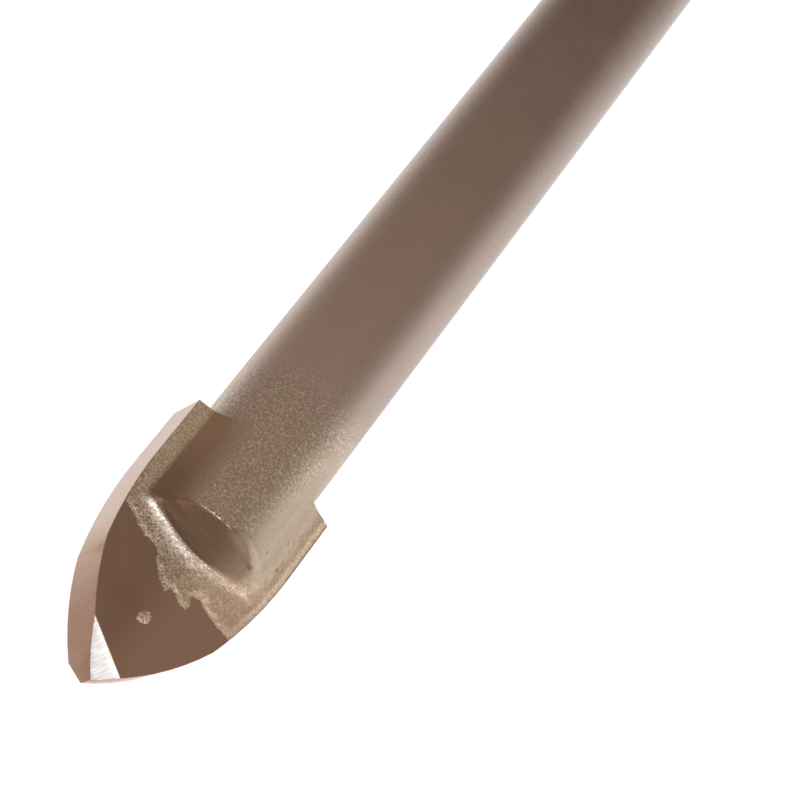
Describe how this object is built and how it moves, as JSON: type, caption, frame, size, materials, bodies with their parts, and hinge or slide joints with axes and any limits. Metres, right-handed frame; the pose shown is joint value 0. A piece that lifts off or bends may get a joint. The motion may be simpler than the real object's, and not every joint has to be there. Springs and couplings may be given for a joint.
{
  "type": "glass and tile drill bit",
  "caption": "Spear point drill bit for glass and tile: a ground carbide plate brazed across the slotted, coned end of a plain round steel shank.",
  "frame": {"origin": "centre of the flat end of the shank, which the bit stands on", "axes": "+Z along the axis to the point, X across the carbide plate, the plate's front face towards -Y"},
  "size_m": [0.0058, 0.0044, 0.1],
  "materials": {
    "shank_steel": "satin, fine blasted",
    "carbide": "fine blasted faces with bright ground flanks",
    "braze_metal": "rough, granular"
  },
  "bodies": {
    "root": {"shank": "shank_steel", "carbide_tip": "carbide", "braze": "braze_metal"}
  },
  "joints": []
}
